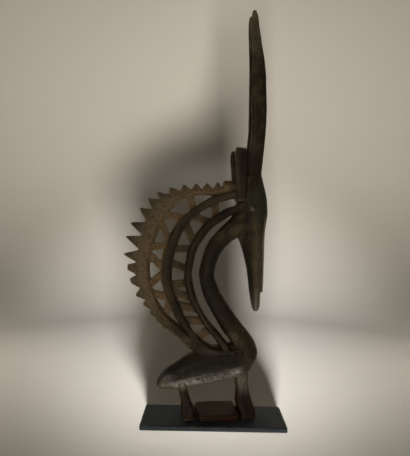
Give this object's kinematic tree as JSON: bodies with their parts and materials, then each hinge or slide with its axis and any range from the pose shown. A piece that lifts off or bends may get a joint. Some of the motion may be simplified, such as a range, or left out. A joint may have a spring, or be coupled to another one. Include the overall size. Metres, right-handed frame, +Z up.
{
  "type": "chiwara headdress",
  "caption": "Carved wood antelope crest with tall upright horns, a pierced toothed mane arching over the back and bent legs, standing on a flat metal plate.",
  "frame": {"origin": "middle of the plate's underside", "axes": "+Z up, +X along the plate towards the side that the antelope faces, +Y across the plate away from the side that is viewed"},
  "size_m": [0.2758, 0.09, 0.7023],
  "materials": {
    "carved_wood": "dark handled patina, worn to ochre and grey on the edges",
    "block_wood": "smooth reddish brown, satin",
    "plate_paint": "dark slate grey paint, satin, worn at the edges"
  },
  "bodies": {
    "root": {"figure": "carved_wood", "foot_block": "block_wood", "base_plate": "plate_paint"}
  },
  "joints": []
}
